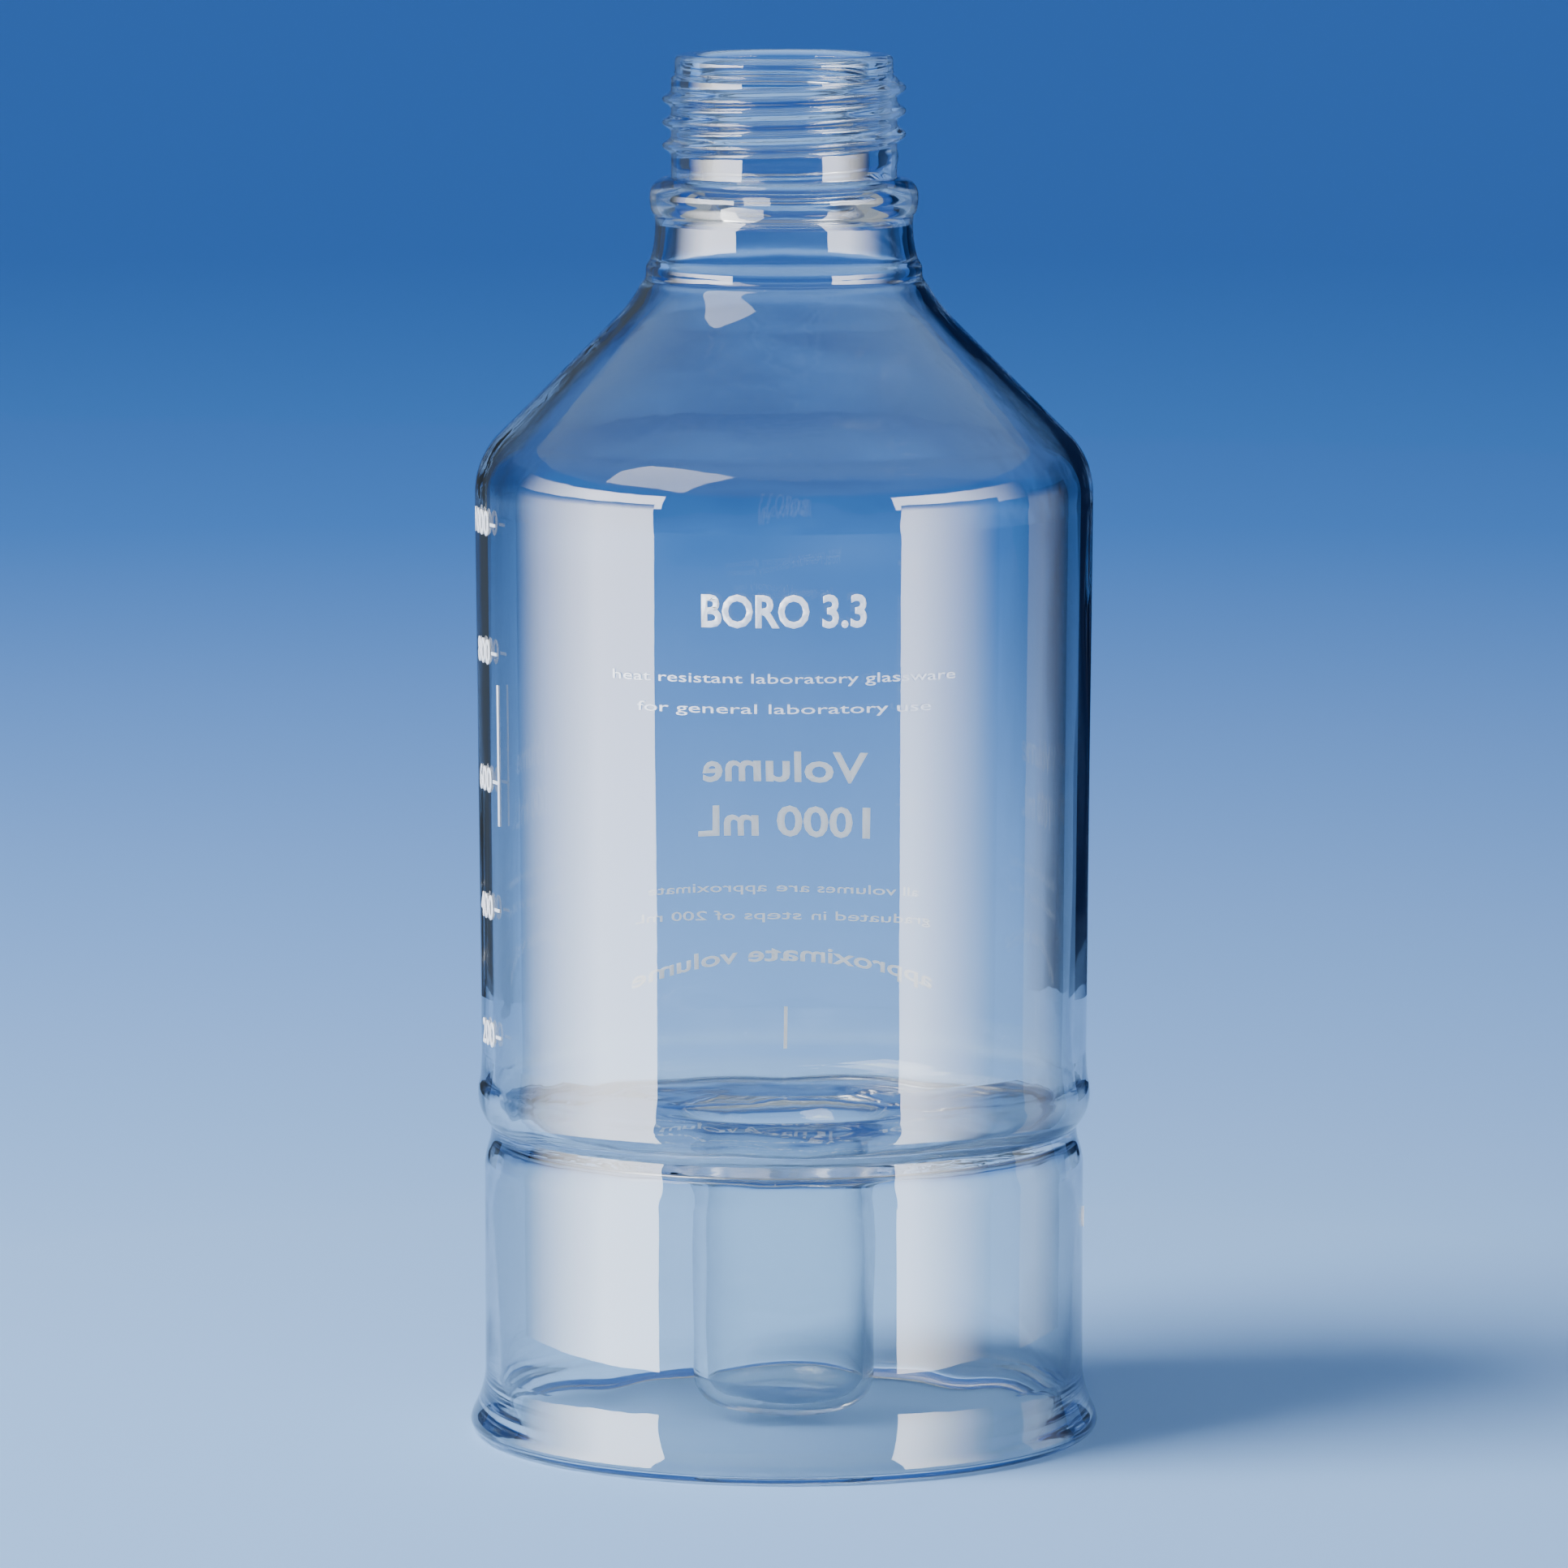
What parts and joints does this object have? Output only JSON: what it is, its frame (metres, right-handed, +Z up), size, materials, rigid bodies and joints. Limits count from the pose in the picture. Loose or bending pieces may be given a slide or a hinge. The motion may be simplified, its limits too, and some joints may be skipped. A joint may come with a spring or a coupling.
{
  "type": "reagent bottle",
  "caption": "Clear borosilicate reagent bottle with a screw-thread neck, cone shoulder and enamel scale, over a round well inside an open glass skirt with a flared foot.",
  "frame": {"origin": "centre of the foot, on the surface the bottle stands on", "axes": "+Z up the bottle's axis to its mouth, -Y towards the side with the unmirrored heading, -X towards the volume scale"},
  "size_m": [0.115, 0.115, 0.252],
  "materials": {
    "borosilicate_glass": "clear, fire polished",
    "white_enamel": "satin, fired on"
  },
  "bodies": {
    "root": {"threaded_neck": "borosilicate_glass", "neck_seam": "borosilicate_glass", "shoulder_cone": "borosilicate_glass", "body_tube": "borosilicate_glass", "bottle_floor": "borosilicate_glass", "waist_seam": "borosilicate_glass", "well_seam": "borosilicate_glass", "well_tube": "borosilicate_glass", "skirt_tube": "borosilicate_glass", "foot_ring": "borosilicate_glass", "graduation_200": "white_enamel", "graduation_400": "white_enamel", "graduation_600": "white_enamel", "graduation_800": "white_enamel", "graduation_1000": "white_enamel", "scale_line": "white_enamel", "glass_type_print": "white_enamel", "front_note_upper": "white_enamel", "front_note_lower": "white_enamel", "volume_print": "white_enamel", "capacity_print": "white_enamel", "back_note_upper": "white_enamel", "back_note_lower": "white_enamel", "arched_print": "white_enamel", "centre_tick": "white_enamel", "skirt_dot": "white_enamel"}
  },
  "joints": []
}
